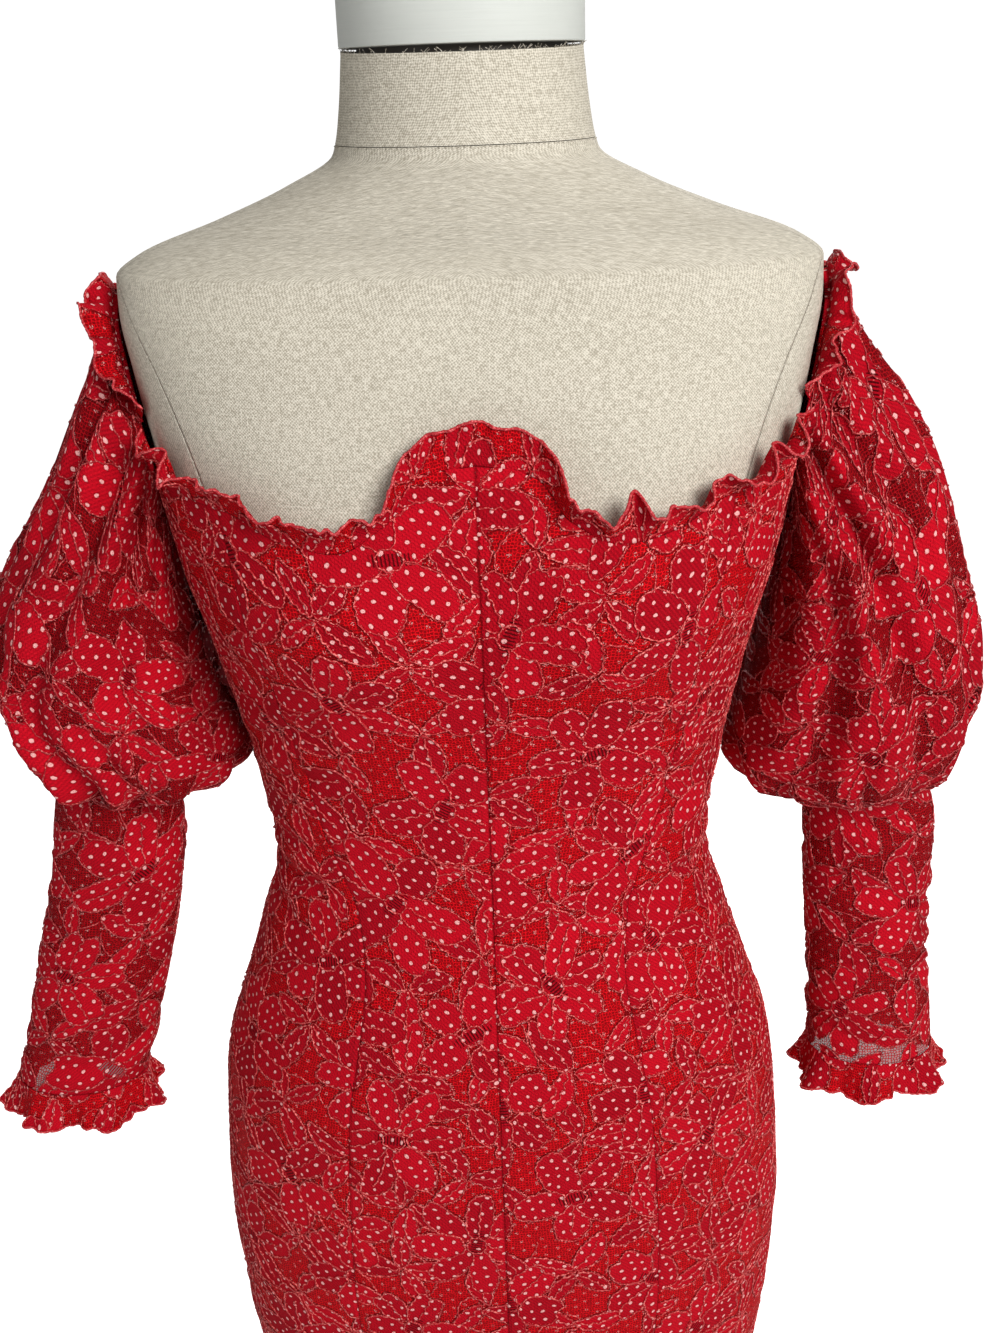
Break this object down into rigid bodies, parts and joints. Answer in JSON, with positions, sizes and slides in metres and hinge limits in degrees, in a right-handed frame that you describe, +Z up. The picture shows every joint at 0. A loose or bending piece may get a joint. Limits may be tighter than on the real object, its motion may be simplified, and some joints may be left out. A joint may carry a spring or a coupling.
{
  "type": "mini dress on dress form",
  "caption": "Off-shoulder mini dress of dotted corded lace, a fitted sheath with puff sleeves and lettuce-edged frills, worn by a limbless linen dress form on a round stand.",
  "frame": {"origin": "on the floor, middle of the round base's underside", "axes": "+Z up along the pole, the front of the dress faces -Y, the wearer's left is +X"},
  "size_m": [0.6329, 0.38, 1.444],
  "materials": {
    "lace": "matte corded lace with woven dots",
    "linen": "matte slubby linen",
    "cap": "off-white paint",
    "steel": "satin",
    "zip": "satin red"
  },
  "bodies": {
    "dress_form": {"back_centre_left": "lace", "back_centre_right": "lace", "back_side_left": "lace", "back_side_right": "lace", "cuff_ruffle_left": "lace", "cuff_ruffle_right": "lace", "form_cap": "cap", "form_neck": "linen", "form_torso": "linen", "front_centre_left": "lace", "front_centre_right": "lace", "front_side_left": "lace", "front_side_right": "lace", "lower_sleeve_left": "lace", "lower_sleeve_right": "lace", "neck_ruffle_back_left": "lace", "neck_ruffle_back_right": "lace", "neck_ruffle_front": "lace", "puff_sleeve_left": "lace", "puff_sleeve_right": "lace", "shoulder_ruffle_left": "lace", "shoulder_ruffle_right": "lace", "stand_base": "steel", "stand_pole": "steel", "zip_chain": "zip", "zip_slider": "zip"},
    "zip_pull": {"zip_pull": "zip"}
  },
  "joints": [
    {"name": "zip_pull_swing", "type": "hinge", "parent": "dress_form", "child": "zip_pull", "pos_m": [0, 0.12039, 1.1826], "axis": [1, 0, 0], "range_deg": [0, 120]}
  ]
}
